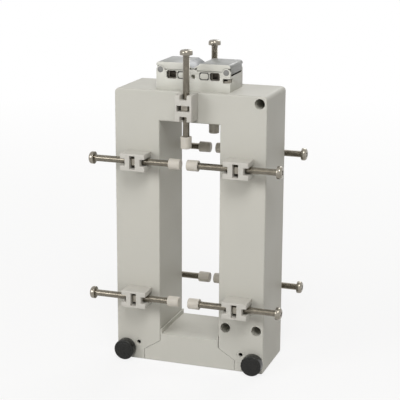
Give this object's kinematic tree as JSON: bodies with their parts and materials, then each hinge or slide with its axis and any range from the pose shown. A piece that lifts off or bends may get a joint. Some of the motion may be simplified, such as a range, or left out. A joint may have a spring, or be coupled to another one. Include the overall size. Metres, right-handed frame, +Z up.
{
  "type": "split-core current transformer",
  "caption": "Tall split-core current transformer with a busbar window, drop-out yoke held by thumb screws, clamp screws in clips and a lidded terminal block.",
  "frame": {"origin": "middle of the flat underside", "axes": "+Z up through the window's height, front face with knobs and wire ports towards -Y, +X right"},
  "size_m": [0.1806, 0.094, 0.2901],
  "materials": {
    "housing_plastic": "fine matt, warm light grey",
    "clip_plastic": "fine matt, off-white",
    "cap_plastic": "matt, ivory",
    "knob_plastic": "satin black",
    "screw_steel": "bright nickel or zinc plate",
    "core_steel": "laminated core steel",
    "copper": "enamelled copper wire",
    "former_plastic": "matt black",
    "rubber_pad": "soft pad",
    "block_plastic": "fine matt, light grey",
    "lid_plastic": "smoked translucent",
    "terminal_metal": "plated brass"
  },
  "bodies": {
    "housing": {"housing_tub": "housing_plastic", "rear_cover": "housing_plastic", "u_core": "core_steel", "core_pads": "rubber_pad", "right_winding_former": "former_plastic", "right_winding": "copper", "left_winding_former": "former_plastic", "left_winding": "copper", "thumb_inserts": "terminal_metal", "clip_front_upper_left": "clip_plastic", "clip_front_upper_right": "clip_plastic", "clip_front_lower_left": "clip_plastic", "clip_front_lower_right": "clip_plastic", "clip_front_top": "clip_plastic", "clip_rear_upper_left": "clip_plastic", "clip_rear_upper_right": "clip_plastic", "clip_rear_lower_left": "clip_plastic", "clip_rear_lower_right": "clip_plastic", "clip_rear_top": "clip_plastic", "clamp_nuts": "screw_steel", "front_case_screws": "screw_steel", "rear_case_screws": "screw_steel", "terminal_block": "block_plastic", "shorting_link": "terminal_metal", "terminal_bars": "terminal_metal", "terminal_clamps": "terminal_metal", "terminal_screws": "screw_steel", "leads": "copper"},
    "yoke": {"yoke_shell": "housing_plastic", "yoke_cover": "housing_plastic", "yoke_core": "core_steel", "yoke_pad": "rubber_pad", "yoke_lugs": "screw_steel"},
    "right_thumb_screw": {"right_thumb_knob": "knob_plastic", "right_thumb_stud": "screw_steel"},
    "right_lid": {"right_terminal_lid": "lid_plastic"},
    "left_thumb_screw": {"left_thumb_knob": "knob_plastic", "left_thumb_stud": "screw_steel"},
    "left_lid": {"left_terminal_lid": "lid_plastic"},
    "front_upper_left_screw": {"clamp_screw_front_upper_left": "screw_steel", "tip_cap_front_upper_left": "cap_plastic"},
    "front_upper_right_screw": {"clamp_screw_front_upper_right": "screw_steel", "tip_cap_front_upper_right": "cap_plastic"},
    "front_lower_left_screw": {"clamp_screw_front_lower_left": "screw_steel", "tip_cap_front_lower_left": "cap_plastic"},
    "front_lower_right_screw": {"clamp_screw_front_lower_right": "screw_steel", "tip_cap_front_lower_right": "cap_plastic"},
    "front_top_screw": {"clamp_screw_front_top": "screw_steel", "tip_cap_front_top": "cap_plastic"},
    "rear_upper_left_screw": {"clamp_screw_rear_upper_left": "screw_steel", "tip_cap_rear_upper_left": "cap_plastic"},
    "rear_upper_right_screw": {"clamp_screw_rear_upper_right": "screw_steel", "tip_cap_rear_upper_right": "cap_plastic"},
    "rear_lower_left_screw": {"clamp_screw_rear_lower_left": "screw_steel", "tip_cap_rear_lower_left": "cap_plastic"},
    "rear_lower_right_screw": {"clamp_screw_rear_lower_right": "screw_steel", "tip_cap_rear_lower_right": "cap_plastic"},
    "rear_top_screw": {"clamp_screw_rear_top": "screw_steel", "tip_cap_rear_top": "cap_plastic"}
  },
  "joints": [
    {"name": "yoke_slide", "type": "slide", "parent": "housing", "child": "yoke", "axis": [0, 0, -1], "range_m": [0, 0.06]},
    {"name": "right_thumb_screw_turn", "type": "hinge", "parent": "housing", "child": "right_thumb_screw", "pos_m": [0.0609, -0.03, 0.0097], "axis": [0, -1, 0], "range_deg": [0, 540]},
    {"name": "right_lid_hinge", "type": "hinge", "parent": "housing", "child": "right_lid", "pos_m": [0.0302, 0, 0.269], "axis": [0, 1, 0], "range_deg": [0, 75]},
    {"name": "left_thumb_screw_turn", "type": "hinge", "parent": "housing", "child": "left_thumb_screw", "pos_m": [-0.0609, -0.03, 0.0097], "axis": [0, -1, 0], "range_deg": [0, 540]},
    {"name": "left_lid_hinge", "type": "hinge", "parent": "housing", "child": "left_lid", "pos_m": [-0.0302, 0, 0.269], "axis": [0, -1, 0], "range_deg": [0, 75]},
    {"name": "front_upper_left_screw_feed", "type": "slide", "parent": "housing", "child": "front_upper_left_screw", "axis": [1, 0, 0], "range_m": [-0.0198, 0.0027]},
    {"name": "front_upper_right_screw_feed", "type": "slide", "parent": "housing", "child": "front_upper_right_screw", "axis": [-1, 0, 0], "range_m": [-0.0235, 0.0027]},
    {"name": "front_lower_left_screw_feed", "type": "slide", "parent": "housing", "child": "front_lower_left_screw", "axis": [1, 0, 0], "range_m": [-0.0186, 0.004]},
    {"name": "front_lower_right_screw_feed", "type": "slide", "parent": "housing", "child": "front_lower_right_screw", "axis": [-1, 0, 0], "range_m": [-0.0221, 0.004]},
    {"name": "front_top_screw_feed", "type": "slide", "parent": "housing", "child": "front_top_screw", "axis": [0, 0, -1], "range_m": [-0.0134, 0.0093]},
    {"name": "rear_upper_left_screw_feed", "type": "slide", "parent": "housing", "child": "rear_upper_left_screw", "axis": [1, 0, 0], "range_m": [-0.0216, 0.0025]},
    {"name": "rear_upper_right_screw_feed", "type": "slide", "parent": "housing", "child": "rear_upper_right_screw", "axis": [-1, 0, 0], "range_m": [-0.022, 0.0025]},
    {"name": "rear_lower_left_screw_feed", "type": "slide", "parent": "housing", "child": "rear_lower_left_screw", "axis": [1, 0, 0], "range_m": [-0.0217, 0.0018]},
    {"name": "rear_lower_right_screw_feed", "type": "slide", "parent": "housing", "child": "rear_lower_right_screw", "axis": [-1, 0, 0], "range_m": [-0.0232, 0.0018]},
    {"name": "rear_top_screw_feed", "type": "slide", "parent": "housing", "child": "rear_top_screw", "axis": [0, 0, -1], "range_m": [-0.0145, 0.0082]}
  ]
}
